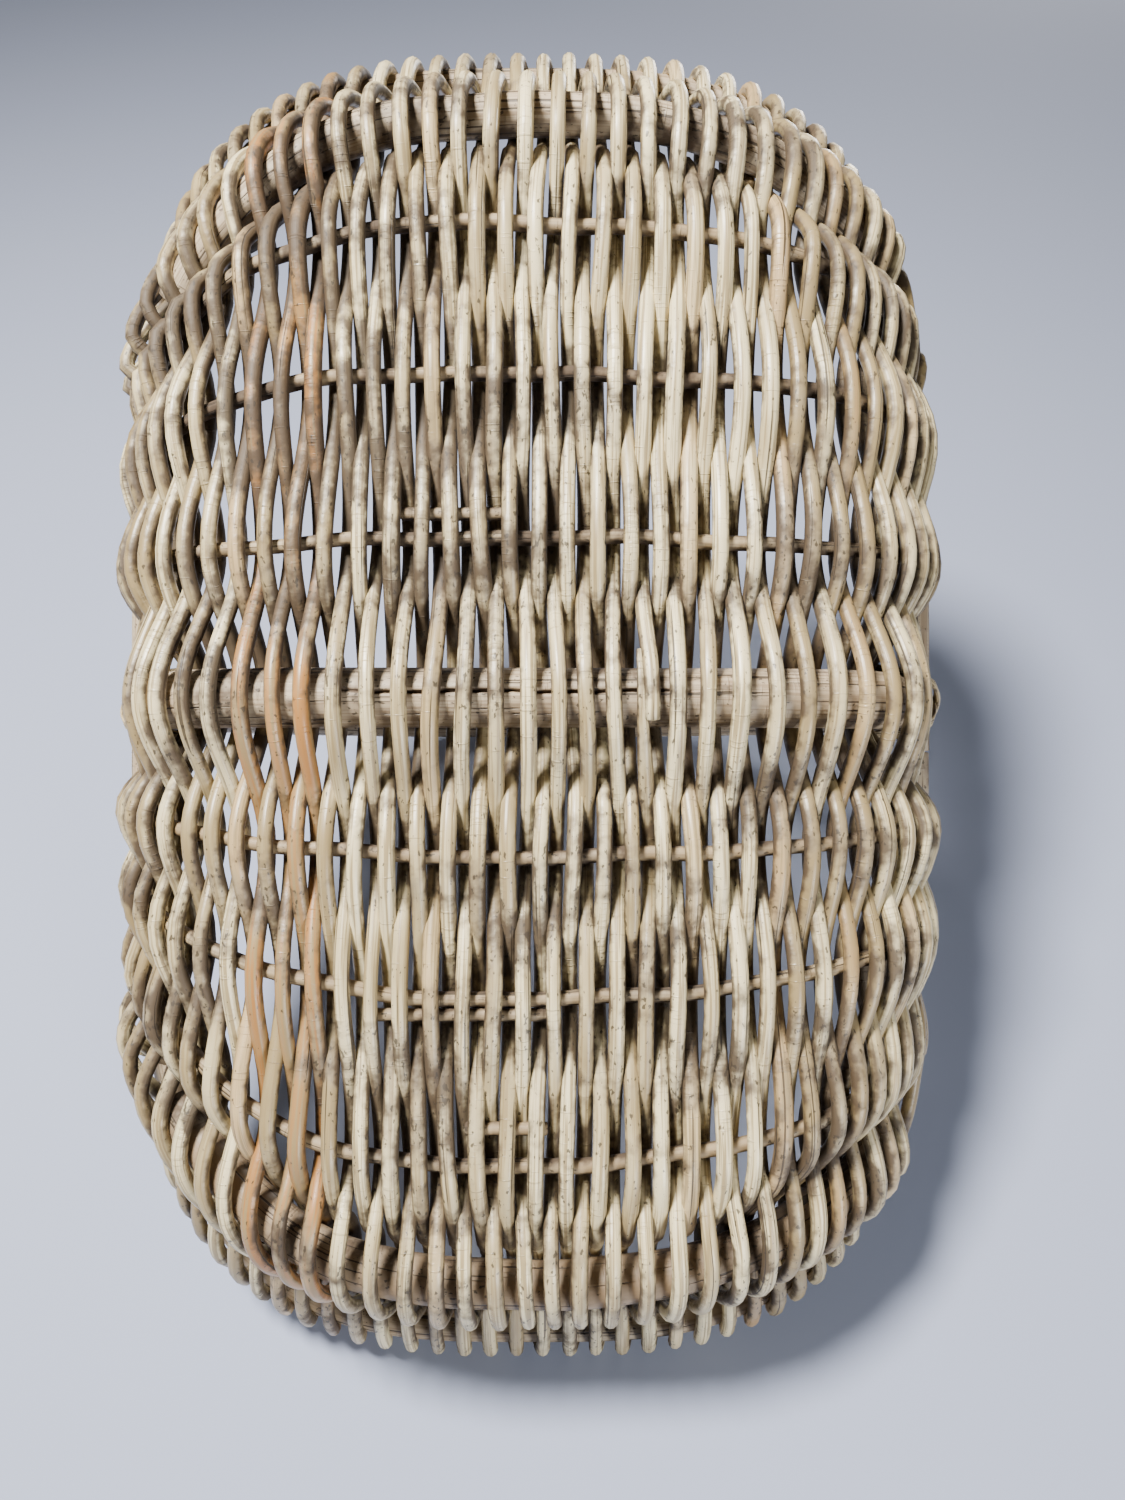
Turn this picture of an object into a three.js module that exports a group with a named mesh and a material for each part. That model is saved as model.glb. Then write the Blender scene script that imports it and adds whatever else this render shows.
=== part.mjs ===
// An oval frame basket of willow: a stout rim hoop, a stout hoop crossing it that is both the keel under
// the base and the handle above it, two end bows, six thin ribs, and willow rods woven lengthwise over
// and under all of them. Millimetres, +Z up (mouth up), +X along the length, origin under the middle of
// the keel, on the plane that the basket stands on.
import * as THREE from 'three';

// Driving dimensions.
const RIM_HALF_LENGTH = 272;
const RIM_HALF_WIDTH = 168;
const RIM_SQUARENESS = 3.3; // exponent of the oval: 2 would be an ellipse
const RIM_ROD_R = 7;
const RIM_JOINT = { turn: Math.PI / 2 + 0.12, gap: 0.004 }; // where the rim rod's ends meet, in radians
const WALL_HEIGHT = 72;
const HOOP_ROD_R = 11.5;
const HOOP_TOP = 320;
const HOOP_ROD_CLEARANCE = 0.5;
const HOOP_END_GAP = 0.4;
const HOOP_SPRING = 14; // height over the rim at which the handle's arc begins
const HOOP_LEAVES_WEB = { girth: 130, share: 0.97 }; // where the keel starts to part from the web, and ends
const BOW_X = 225;
const BOW_RODS = [
  { name: 'end_bow_front', x: BOW_X, r: 8, bend: 0.32 },
  { name: 'end_bow_rear', x: -BOW_X, r: 9, bend: 0.32 },
];
const BOW_ROOM = 0.8; // more room over a bow, where a band turns up
const RIB_ROD_R = 3;
const RIBS = [
  { x: 177, bend: 0.2 },
  { x: 121, bend: 0.15 },
  { x: 59, bend: 0.05 },
  { x: -59, bend: 0.18 },
  { x: -112, bend: 0.25 },
  { x: -175, bend: 0.3 },
];
const BEND_POWER = 2.5; // how late along a cross rod its bend comes
const BEND_LEAN = 0.4; // the rods bend more on the left than on the right, by this share
const ROD_END_SHARE = 0.9; // how far short of the rim rod a cross rod is cut, as a share of its radius
const SPLICE_ROD_R = 2.5;
const SPLICES = [
  { x: 68.5, from: -46, to: -6 },
  { x: -118.5, from: -56, to: 8 },
  { x: -161, from: -22, to: 8 },
];
const WEAVER_D = 5.6;
const PASS_PITCH = 5.6; // girth taken by one pass of a weaver
const PASSES = [2, ...Array(23).fill(3)]; // passes laid side by side by each weaver
const BAND_GAP = 0.8;
const FLAT_OVER_ROD = 2.5; // how far past a rod a band stays at its full height
const FADE_PAST_ROD = 20; // and how far past it the band is back down on the web
const RIM_RISE = { from: 6, to: 20 }; // depth under the rim over which a band climbs on to it
const BOW_LINES_REACH = 16; // a band's cross lines are close together this near to a bow
const BAND_CLEARANCE = 1.5;
const BINDING = { thickness: 2, width: 4, clearance: 0.8 };

// Derived sizes.
const KEEL_LEVEL = HOOP_ROD_R + WEAVER_D;
const RIM_LEVEL = KEEL_LEVEL + WALL_HEIGHT;
const HOOP_INSET = RIM_ROD_R + HOOP_ROD_R + HOOP_ROD_CLEARANCE;
const BAND_THICKNESS = WEAVER_D - BAND_CLEARANCE;

const WILLOW = {
  peeled: { color: 0xb89a7e, roughness: 0.62, metalness: 0 },
  rib: { color: 0xa98f6c, roughness: 0.7, metalness: 0 },
  weaver: { color: 0xc9bfa6, roughness: 0.55, metalness: 0 },
  binding: { color: 0xb9a98a, roughness: 0.6, metalness: 0 },
};

const smoothstep = THREE.MathUtils.smoothstep;

// The web is the surface that the rods' centrelines lie on: flat under the keel, round up the long
// sides, and turned up in a straight flare at the two ends.
const BASE_SHARE = { side: 0.35, end: 0.77 };
const SIDE_ROUNDNESS = 2.2;
const END_FLARE = 1.25;

/** How far out a point is: 0 in the middle, 1 on the rim. */
function reach(x, y) {
  const along = Math.abs(x / RIM_HALF_LENGTH) ** RIM_SQUARENESS;
  const across = Math.abs(y / RIM_HALF_WIDTH) ** RIM_SQUARENESS;
  return (along + across) ** (1 / RIM_SQUARENESS);
}

/** Height of the web over the ground. */
function webHeight(x, y) {
  const out = Math.min(reach(x, y), 1);
  if (out === 0) return KEEL_LEVEL;
  const endness = (Math.abs(x / RIM_HALF_LENGTH) / out) ** RIM_SQUARENESS;
  const side = Math.max(0, (out - BASE_SHARE.side) / (1 - BASE_SHARE.side));
  const sideRise = 1 - (1 - side ** SIDE_ROUNDNESS) ** (1 / SIDE_ROUNDNESS);
  const endRise = (Math.max(0, out - BASE_SHARE.end) / (1 - BASE_SHARE.end)) ** END_FLARE;
  return KEEL_LEVEL + WALL_HEIGHT * (endness * endRise + (1 - endness) * sideRise);
}

/** Unit normal of the web, pointing out of the basket. It is taken just inside the rim, where it exists. */
function webNormal(x, y) {
  const step = 0.05;
  const inward = Math.min(1, 0.995 / Math.max(reach(x, y), 1e-6));
  const [u, v] = [x * inward, y * inward];
  const slopeX = (webHeight(u + step, v) - webHeight(u - step, v)) / (2 * step);
  const slopeY = (webHeight(u, v + step) - webHeight(u, v - step)) / (2 * step);
  return new THREE.Vector3(slopeX, slopeY, -1).normalize();
}

/** Half the rim's width at one place along the length. */
function rimHalfWidth(x) {
  const share = Math.min(Math.abs(x / RIM_HALF_LENGTH), 1);
  return RIM_HALF_WIDTH * (1 - share ** RIM_SQUARENESS) ** (1 / RIM_SQUARENESS);
}

/** The girth line at x, from the middle to the rim: steps of { y, girth }. */
function girthLine(x) {
  const steps = 90;
  const edge = rimHalfWidth(x);
  const line = [{ y: 0, z: webHeight(x, 0), girth: 0 }];
  for (let i = 1; i <= steps; i++) {
    const before = line[i - 1];
    const y = edge * Math.sin((i / steps) * (Math.PI / 2));
    const z = webHeight(x, y);
    line.push({ y, z, girth: before.girth + Math.hypot(y - before.y, z - before.z) });
  }
  return line;
}

/** The girth from the middle to the rim at x. */
function halfGirth(x) {
  return girthLine(x).at(-1).girth;
}

/** The y of the point that lies a given girth from the middle, at x. */
function atGirth(x, girth) {
  const line = girthLine(x);
  const wanted = Math.abs(girth);
  const last = line.length - 1;
  const i = Math.max(1, line.findIndex((p, k) => k === last || p.girth >= wanted));
  const [a, b] = [line[i - 1], line[i]];
  const share = Math.min(1, (wanted - a.girth) / Math.max(b.girth - a.girth, 1e-9));
  return Math.sign(girth) * (a.y + (b.y - a.y) * share);
}

/** Bisects for the place where a falling function reaches a value. */
function solve(low, high, value, falling) {
  for (let i = 0; i < 40; i++) {
    const middle = (low + high) / 2;
    if (falling(middle) > value) low = middle;
    else high = middle;
  }
  return low;
}

/** How far along the length a line of constant girth runs before it meets the rim. */
function runLength(girth) {
  return solve(0, RIM_HALF_LENGTH, Math.abs(girth), halfGirth);
}

/** The hoop leaves the web near its ears, to pass inside the rim. */
function hoopInset(girth) {
  return HOOP_INSET * smoothstep(Math.abs(girth), HOOP_LEAVES_WEB.girth, halfGirth(0));
}

/** 1 over a rod and just past it, falling to 0 further off. */
function overRod(distance, r) {
  return 1 - smoothstep(Math.abs(distance), r + FLAT_OVER_ROD, r + FADE_PAST_ROD);
}

/** The x of a rib or bow at y: it bends back towards the middle near the rim. */
function rodX(rod, y) {
  const across = y / RIM_HALF_WIDTH;
  return rod.x * (1 - rod.bend * (1 - BEND_LEAN * across) * Math.abs(across) ** BEND_POWER);
}

/** How far the rods stand out of the web at a point. */
function rodRelief(x, y, girth) {
  let relief = RIB_ROD_R;
  const keel = Math.max(0, HOOP_ROD_R - RIB_ROD_R - hoopInset(girth));
  relief += keel * overRod(x, HOOP_ROD_R);
  for (const bow of BOW_RODS) {
    relief += (bow.r + BOW_ROOM - RIB_ROD_R) * overRod(x - rodX(bow, y), bow.r);
  }
  const underRim = smoothstep(RIM_LEVEL - webHeight(x, y), RIM_RISE.from, RIM_RISE.to);
  return Math.max(relief, RIB_ROD_R + (RIM_ROD_R - RIB_ROD_R) * (1 - underRim));
}

/** A closed solid tube along a curve. */
function rodAlong(curve, r, sides, steps) {
  const section = new THREE.Shape();
  for (let i = 0; i < sides; i++) {
    const a = (i / sides) * 2 * Math.PI;
    if (i === 0) section.moveTo(r, 0);
    else section.lineTo(r * Math.cos(a), r * Math.sin(a));
  }
  section.closePath();
  curve.arcLengthDivisions = 800;
  return new THREE.ExtrudeGeometry(section, { steps, bevelEnabled: false, extrudePath: curve });
}

/** Drops the points within a given length of either end of a line. */
function trimmed(points, cut) {
  const along = [0];
  for (let i = 1; i < points.length; i++) along.push(along[i - 1] + points[i].distanceTo(points[i - 1]));
  return points.filter((_, i) => along[i] >= cut && along.at(-1) - along[i] >= cut);
}

function smoothCurve(points) {
  return new THREE.CatmullRomCurve3(points, false, 'centripetal');
}

function makeMesh(name, geometry, finish) {
  const mesh = new THREE.Mesh(geometry, new THREE.MeshStandardMaterial(finish));
  mesh.name = name;
  return mesh;
}

/** The rim: one bent rod whose ends meet beside an ear. */
function makeRimHoop() {
  class RimLine extends THREE.Curve {
    getPoint(t, target = new THREE.Vector3()) {
      const angle = RIM_JOINT.turn + RIM_JOINT.gap + t * 2 * (Math.PI - RIM_JOINT.gap);
      const [c, s] = [Math.cos(angle), Math.sin(angle)];
      const r = 1 / reach(c, s);
      return target.set(c * r, s * r, RIM_LEVEL);
    }
  }
  return makeMesh('rim_hoop', rodAlong(new RimLine(), RIM_ROD_R, 8, 72), WILLOW.peeled);
}

/** Keel and handle in one bent rod. Its ends meet inside the binding of one ear. */
function makeHandleHoop() {
  const half = halfGirth(0);
  const keel = [];
  for (let i = -20; i <= 20; i++) {
    const girth = (i / 20) * half * HOOP_LEAVES_WEB.share;
    const y = atGirth(0, girth);
    const point = new THREE.Vector3(0, y, webHeight(0, y));
    keel.push(point.addScaledVector(webNormal(0, y), -hoopInset(girth)));
  }
  const handle = [];
  const spring = RIM_LEVEL + HOOP_SPRING;
  const halfSpan = RIM_HALF_WIDTH - HOOP_INSET;
  for (let i = 1; i <= 23; i++) {
    const a = (i / 24) * Math.PI;
    handle.push(new THREE.Vector3(0, halfSpan * Math.cos(a), spring + (HOOP_TOP - spring) * Math.sin(a)));
  }
  const lowEnd = new THREE.Vector3(0, halfSpan, RIM_LEVEL - HOOP_END_GAP);
  const highEnd = new THREE.Vector3(0, halfSpan, RIM_LEVEL + HOOP_END_GAP);
  const line = [highEnd, ...handle, ...keel, lowEnd];
  return makeMesh('handle_hoop', rodAlong(smoothCurve(line), HOOP_ROD_R, 10, 84), WILLOW.peeled);
}

/** A rod laid across the web, from rim to rim, cut off short of the rim. */
function crossRod(name, rod, r, sides, finish) {
  const edge = solve(0, RIM_HALF_WIDTH, -1, (y) => -reach(rodX(rod, y), y));
  const points = [];
  for (let i = -60; i <= 60; i++) {
    const y = edge * Math.sin((i / 60) * (Math.PI / 2));
    const x = rodX(rod, y);
    points.push(new THREE.Vector3(x, y, webHeight(x, y)));
  }
  const cut = RIM_ROD_R + ROD_END_SHARE * r;
  return makeMesh(name, rodAlong(smoothCurve(trimmed(points, cut)), r, sides, 32), finish);
}

/** A short rod tucked in beside a rib, where two weavers are joined. */
function makeSplice(splice, index) {
  const line = smoothCurve([0, 0.5, 1].map((share) => {
    const y = splice.from + (splice.to - splice.from) * share;
    return new THREE.Vector3(splice.x, y, webHeight(splice.x, y));
  }));
  return makeMesh(`rib_splice_${index + 1}`, rodAlong(line, SPLICE_ROD_R, 6, 4), WILLOW.rib);
}

/** The lashing that ties the hoop to the rim: a strap round both, lying aslant. side is 1 or -1. */
function makeEarBinding(name, side) {
  const { thickness, width, clearance } = BINDING;
  const aslant = Math.SQRT2; // a rod cut at 45 degrees is this much longer than it is wide
  const room = clearance + width / 2;
  const outline = (grow) => {
    const hoop = { half: HOOP_ROD_R * aslant + room + grow, deep: HOOP_ROD_R + clearance + grow };
    const rim = { half: RIM_ROD_R * aslant + room + grow, deep: RIM_ROD_R + clearance + grow };
    const points = [];
    for (let i = 0; i <= 8; i++) {
      const a = (1 + i / 8) * Math.PI;
      points.push(new THREE.Vector2(hoop.half * Math.cos(a), hoop.deep * Math.sin(a)));
    }
    for (let i = 0; i <= 6; i++) {
      const a = (i / 6) * Math.PI;
      points.push(new THREE.Vector2(rim.half * Math.cos(a), HOOP_INSET + rim.deep * Math.sin(a)));
    }
    return points;
  };
  const ring = new THREE.Shape(outline(thickness));
  ring.holes.push(new THREE.Path(outline(0)));
  const geometry = new THREE.ExtrudeGeometry(ring, { depth: width, bevelEnabled: false });
  geometry.translate(0, 0, -width / 2);
  const mesh = makeMesh(name, geometry, WILLOW.binding);
  const axisAlong = new THREE.Vector3(side, 0, 1).normalize();
  const axisOut = new THREE.Vector3(0, side, 0);
  const axisAcross = new THREE.Vector3().crossVectors(axisAlong, axisOut);
  mesh.quaternion.setFromRotationMatrix(new THREE.Matrix4().makeBasis(axisAlong, axisOut, axisAcross));
  mesh.position.set(0, side * (RIM_HALF_WIDTH - HOOP_INSET), RIM_LEVEL);
  return mesh;
}

/** Evenly spaced numbers from one value to another, without the first. */
function spaced(from, to, count) {
  return Array.from({ length: count }, (_, i) => from + ((to - from) * (i + 1)) / count);
}

/** Where a band has its cross lines, as shares of its half length: close together over the bows. */
const BAND_LINES = [
  0,
  HOOP_ROD_R + FLAT_OVER_ROD,
  ...spaced(HOOP_ROD_R + FLAT_OVER_ROD, BOW_X - BOW_LINES_REACH, 11),
  ...spaced(BOW_X - BOW_LINES_REACH, BOW_X + BOW_LINES_REACH, 8),
  ...spaced(BOW_X + BOW_LINES_REACH, RIM_HALF_LENGTH, 3),
].map((x) => x / RIM_HALF_LENGTH);

/** One weaver's passes, laid side by side over the outside of the rods from rim to rim. */
function makeWeaver(name, from, to) {
  const half = BAND_LINES.length - 1;
  const geometry = new THREE.BoxGeometry(2 * half, 1, 1, 2 * half, 1, 1);
  const position = geometry.attributes.position;
  const [firstRun, lastRun] = [runLength(from), runLength(to)];
  const point = new THREE.Vector3();
  for (let i = 0; i < position.count; i++) {
    point.fromBufferAttribute(position, i);
    const girth = point.y < 0 ? from : to;
    const line = Math.round(point.x);
    const x = Math.sign(line) * BAND_LINES[Math.abs(line)] * (point.y < 0 ? firstRun : lastRun);
    const y = atGirth(x, girth);
    const offset = rodRelief(x, y, girth) + BAND_CLEARANCE + BAND_THICKNESS * (0.5 - point.z);
    point.set(x, y, webHeight(x, y)).addScaledVector(webNormal(x, y), offset);
    position.setXYZ(i, point.x, point.y, point.z);
  }
  return makeMesh(name, geometry, WILLOW.weaver);
}

function makeWeavers() {
  const passCount = PASSES.reduce((sum, n) => sum + n, 0);
  let edge = (-passCount / 2) * PASS_PITCH;
  return PASSES.map((passes, index) => {
    const from = edge + BAND_GAP / 2;
    edge += passes * PASS_PITCH;
    return makeWeaver(`weaver_${String(index + 1).padStart(2, '0')}`, from, edge - BAND_GAP / 2);
  });
}

const basket = new THREE.Group();
basket.add(makeRimHoop());
basket.add(makeHandleHoop());
BOW_RODS.forEach((bow) => basket.add(crossRod(bow.name, bow, bow.r, 8, WILLOW.peeled)));
RIBS.forEach((rib, i) => basket.add(crossRod(`rib_${i + 1}`, rib, RIB_ROD_R, 6, WILLOW.rib)));
SPLICES.forEach((splice, i) => basket.add(makeSplice(splice, i)));
basket.add(makeEarBinding('ear_binding_left', -1));
basket.add(makeEarBinding('ear_binding_right', 1));
makeWeavers().forEach((weaver) => basket.add(weaver));

export default basket;
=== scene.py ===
# %% [markdown]
# # An oval willow frame basket
# This lesson dresses a plain working model of a basket in real willow. A frame basket is a stout oval rim,
# a stout hoop crossing it that is the keel below and the handle above, a bow across each end, six thin
# ribs, and long willow rods woven over and under all of them. Every rod here is one swept tube that
# follows the way a basket maker's hand takes it, so the over and under is real and not painted on.

# %% Load the frame
import math
import random

import bmesh
import bpy
import numpy as np
from mathutils import Matrix, Vector


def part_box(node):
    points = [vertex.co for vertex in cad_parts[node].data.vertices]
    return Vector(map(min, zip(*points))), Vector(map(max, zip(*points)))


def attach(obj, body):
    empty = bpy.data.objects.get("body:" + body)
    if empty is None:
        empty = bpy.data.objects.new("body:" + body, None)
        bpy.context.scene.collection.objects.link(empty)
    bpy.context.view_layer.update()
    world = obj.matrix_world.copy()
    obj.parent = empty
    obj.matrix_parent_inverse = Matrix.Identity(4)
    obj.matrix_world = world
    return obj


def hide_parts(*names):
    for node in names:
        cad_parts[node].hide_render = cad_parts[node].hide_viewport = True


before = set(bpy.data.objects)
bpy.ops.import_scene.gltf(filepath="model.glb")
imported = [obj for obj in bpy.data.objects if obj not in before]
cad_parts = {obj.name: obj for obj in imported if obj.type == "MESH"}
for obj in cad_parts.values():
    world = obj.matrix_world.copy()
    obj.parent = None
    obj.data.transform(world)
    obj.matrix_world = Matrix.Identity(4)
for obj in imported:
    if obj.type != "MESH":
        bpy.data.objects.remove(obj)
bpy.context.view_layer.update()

# %% [markdown]
# ## Sizes
# The frame already holds every main size, so the rods are measured from the boxes of its nodes and
# nothing is fitted by eye. Only the few facts that a box can't give, such as how square the oval is, are
# written here again. All the weaving maths is in millimetres, and only finished meshes are in metres.

# %% Measure the frame
MM = 0.001
rim_low, rim_high = (np.array(corner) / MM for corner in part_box("rim_hoop"))
hoop_low, hoop_high = (np.array(corner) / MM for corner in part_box("handle_hoop"))
RIM_R = (rim_high[2] - rim_low[2]) / 2
RIM_LEVEL = (rim_high[2] + rim_low[2]) / 2
RIM_HALF_LENGTH = rim_high[0] - RIM_R
RIM_HALF_WIDTH = rim_high[1] - RIM_R
HOOP_R = hoop_high[0]
KEEL_LEVEL = hoop_low[2] + HOOP_R
HOOP_TOP = hoop_high[2] - HOOP_R
WALL_HEIGHT = RIM_LEVEL - KEEL_LEVEL
HOOP_INSET = RIM_R + HOOP_R + 0.5  # the hoop passes inside the rim
HOOP_LEAVES_WEB = 130  # millimetres of girth from the middle line
WEAVER_R = 2.8
PASS_PITCH = 5.6
COLUMNS = 71
RIM_SQUARENESS = 3.3
SIDE_SHARE, END_SHARE = 0.35, 0.77
SIDE_ROUNDNESS, END_FLARE = 2.2, 1.25
RIB_R, SPLICE_R = 3.0, 2.5
print(f"rim {2 * RIM_HALF_LENGTH:.0f} x {2 * RIM_HALF_WIDTH:.0f} mm")
print(f"handle {HOOP_TOP:.0f} mm high, keel {KEEL_LEVEL:.1f} mm up")

# %% Cross rods
CROSS_RODS = {
    "end_bow_rear": {"x": -225, "r": 9, "bend": 0.32},
    "rib_6": {"x": -175, "r": RIB_R, "bend": 0.3},
    "rib_5": {"x": -112, "r": RIB_R, "bend": 0.25},
    "rib_4": {"x": -59, "r": RIB_R, "bend": 0.18},
    "handle_hoop": {"x": 0, "r": HOOP_R, "bend": 0},
    "rib_3": {"x": 59, "r": RIB_R, "bend": 0.05},
    "rib_2": {"x": 121, "r": RIB_R, "bend": 0.15},
    "rib_1": {"x": 177, "r": RIB_R, "bend": 0.2},
    "end_bow_front": {"x": 225, "r": 8, "bend": 0.32},
}
BEND_POWER, BEND_LEAN = 2.5, 0.4


def rod_x(rod, y):
    """Where a cross rod runs: it bends back towards the middle near the rim, more so on the left."""
    across = y / RIM_HALF_WIDTH
    return rod["x"] * (1 - rod["bend"] * (1 - BEND_LEAN * across) * abs(across) ** BEND_POWER)


print("cross rods:", ", ".join(CROSS_RODS))

# %% [markdown]
# ## The web
# All the rods' middles lie on one surface, the web: flat under the keel, round up the long sides and
# turned up in a straight flare at the ends. A formula gives its height, so a rod can be laid anywhere on
# it. Across the basket a place is given by its girth, the length of rod from the middle line, because
# weavers lie side by side and so keep an even girth, not an even y.


# %% The web as a formula
def reach(x, y):
    """0 in the middle of the basket, 1 on the rim."""
    total = np.abs(x / RIM_HALF_LENGTH) ** RIM_SQUARENESS + np.abs(y / RIM_HALF_WIDTH) ** RIM_SQUARENESS
    return total ** (1 / RIM_SQUARENESS)


def web_height(x, y):
    """How high the rods' middles lie at a place on the basket."""
    out = np.clip(reach(x, y), 1e-9, 1)
    endness = (np.abs(x / RIM_HALF_LENGTH) / out) ** RIM_SQUARENESS
    side = np.clip((out - SIDE_SHARE) / (1 - SIDE_SHARE), 0, 1)
    side_rise = 1 - (1 - side**SIDE_ROUNDNESS) ** (1 / SIDE_ROUNDNESS)
    end_rise = np.clip((out - END_SHARE) / (1 - END_SHARE), 0, 1) ** END_FLARE
    return KEEL_LEVEL + WALL_HEIGHT * (endness * end_rise + (1 - endness) * side_rise)


def unit(vector):
    return vector / max(float(np.linalg.norm(vector)), 1e-9)


JUST_INSIDE_RIM = 0.995


def web_normal(x, y):
    """The direction out of the basket, taken just inside the rim, where the slope is still finite."""
    inward = min(1.0, JUST_INSIDE_RIM / max(float(reach(x, y)), 1e-6))
    u, v, step = x * inward, y * inward, 0.05
    slope_x = (web_height(u + step, v) - web_height(u - step, v)) / (2 * step)
    slope_y = (web_height(u, v + step) - web_height(u, v - step)) / (2 * step)
    return unit(np.array([slope_x, slope_y, -1.0]))


def web_point(x, y):
    return np.array([x, y, float(web_height(x, y))])


# %% Girth
GIRTH_STEPS = np.sin(np.linspace(0, math.pi / 2, 91))
HALVINGS = 30


def last_inside(is_inside, high):
    """The largest value between 0 and high that is still inside, by halving."""
    low = 0.0
    for _ in range(HALVINGS):
        middle = (low + high) / 2
        low, high = (middle, high) if is_inside(middle) else (low, middle)
    return low


def girth_line(x):
    """The line across the basket at x: its y values and the girth at each."""
    edge = RIM_HALF_WIDTH * (1 - min(abs(x / RIM_HALF_LENGTH), 1) ** RIM_SQUARENESS) ** (1 / RIM_SQUARENESS)
    y = edge * GIRTH_STEPS
    z = web_height(x, y)
    return y, np.concatenate([[0], np.cumsum(np.hypot(np.diff(y), np.diff(z)))])


def at_girth(x, girth):
    y, along = girth_line(x)
    return math.copysign(float(np.interp(abs(girth), along, y)), girth)


def run_length(girth):
    """How far along the basket a line of constant girth runs before it meets the rim."""
    return last_inside(lambda x: girth_line(x)[1][-1] > abs(girth), RIM_HALF_LENGTH)


HALF_GIRTH = girth_line(0)[1][-1]


def smoothstep(value, low, high):
    t = min(1.0, max(0.0, (value - low) / (high - low)))
    return t * t * (3 - 2 * t)


def hoop_inset(girth):
    """The hoop leaves the web near its ears, to pass inside the rim."""
    return HOOP_INSET * smoothstep(abs(girth), HOOP_LEAVES_WEB, HALF_GIRTH)


print(f"half girth at the keel {HALF_GIRTH:.0f} mm")

# %% [markdown]
# ## Sweeping a rod
# A curve with a bevel would also give a tube, but it can't be told where dirt gathers or how thick the
# rod is at each knot. So one helper starts from a circle and extrudes its edge from station to station.
# It writes two attributes on the way: `rod_space` is the rod straightened out (length, and two ways
# across), so that grain and rings follow each rod round every bend, and `rod_look` holds its tone, its
# warmth, and its grime together with painted shade.


# %% Stations along a rod
def as_stations(points, outs, radii, looks):
    """The stops of a sweep: places in millimetres, the way out of the weave, the radius, and the look."""
    count = len(points)
    return {
        "at": np.array(points, float),
        "out": np.array(outs, float) * np.ones((count, 3)),
        "r": np.array(radii, float) * np.ones(count),
        "look": np.array(looks, float) * np.ones((count, 3)),
    }


def lengths_along(line):
    """How far along a line each of its points is."""
    return np.concatenate([[0], np.cumsum(np.linalg.norm(np.diff(line, axis=0), axis=1))])


def evenly(line, step):
    """The same line with its points an even length apart."""
    along = lengths_along(line)
    wanted = np.linspace(0, along[-1], max(2, round(along[-1] / step) + 1))
    return np.stack([np.interp(wanted, along, line[:, k]) for k in range(3)], axis=1)


def trimmed(line, cut):
    """The same line without a length of cut at each end."""
    along = lengths_along(line)
    return line[(along >= cut) & (along <= along[-1] - cut)]


def smoothed(values, passes=1):
    """Irons the kinks out of a line of values, leaving its two ends in place."""
    for _ in range(passes):
        middle = (values[:-2] + 2 * values[1:-1] + values[2:]) / 4
        values = np.concatenate([values[:1], middle, values[-1:]])
    return values


def carried_frames(at):
    """Tangents, and two directions across the rod that turn as little as they can."""
    tangents = np.gradient(at, axis=0)
    tangents /= np.linalg.norm(tangents, axis=1)[:, None]
    upright = abs(tangents[0][2]) >= 0.9
    across, sides = np.array([1.0, 0.0, 0.0] if upright else [0.0, 0.0, 1.0]), []
    for tangent in tangents:
        across = unit(across - tangent * float(across @ tangent))
        sides.append(across)
    sides = np.array(sides)
    return tangents, sides, np.cross(tangents, sides)


# %% The sweep
FLANK_SHADE = 2.1  # painted shade: the flanks of a rod are darkened, not its crest. In millimetres: a stout rod has less
CHAMFER_SLOPE = 0.6


def sweep(name, stations, sides=10, relief=None, crowd=None, seed=0.0):
    """A closed rod through the stations. relief(i, turn) gives a change of radius and of grime there."""
    at, out, radii, looks = (stations[key] for key in ("at", "out", "r", "look"))
    tangents, first, second = carried_frames(at)
    along = lengths_along(at)
    bm = bmesh.new()
    turn_layer = bm.verts.layers.float.new("turn")
    space = bm.verts.layers.float_vector.new("rod_space")
    look = bm.verts.layers.float_vector.new("rod_look")
    circle = bmesh.ops.create_circle(bm, cap_ends=False, segments=sides, radius=1)["verts"]
    for i, vert in enumerate(circle):
        turn = 2 * math.pi * i / sides
        vert[turn_layer] = crowd(turn) if crowd else turn
    ring, edges = circle, list(bm.edges)
    for i in range(len(at)):
        if i:
            grown = bmesh.ops.extrude_edge_only(bm, edges=edges)["geom"]
            ring = [item for item in grown if isinstance(item, bmesh.types.BMVert)]
            fresh = set(ring)
            edges = [e for e in grown if isinstance(e, bmesh.types.BMEdge) and set(e.verts) <= fresh]
        else:
            last_cap = list(edges)
        for vert in ring:
            turn = vert[turn_layer]
            way = first[i] * math.cos(turn) + second[i] * math.sin(turn)
            swell, dirt = relief(i, turn) if relief else (0.0, 0.0)
            r = radii[i] + swell
            tone, warmth, grime_and_shade = looks[i]
            # painted shade on the flanks, added to the dirt that the relief gives
            grime_and_shade += dirt + FLANK_SHADE / max(r, RIB_R) * (1 - abs(float(way @ out[i])))
            vert.co = Vector((at[i] + way * r) * MM)
            vert[space] = Vector((along[i] + seed, r * math.cos(turn), r * math.sin(turn))) * MM
            vert[look] = Vector((tone, warmth, min(1.0, grime_and_shade)))
    for cap in (last_cap, edges):
        bmesh.ops.contextual_create(bm, geom=cap, mat_nr=1)
    bmesh.ops.recalc_face_normals(bm, faces=bm.faces)
    mesh = bpy.data.meshes.new(name)
    bm.to_mesh(mesh)
    bm.free()
    for polygon in mesh.polygons:
        polygon.use_smooth = polygon.material_index == 0
    piece = bpy.data.objects.new(name, mesh)
    bpy.context.scene.collection.objects.link(piece)
    return piece


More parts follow.
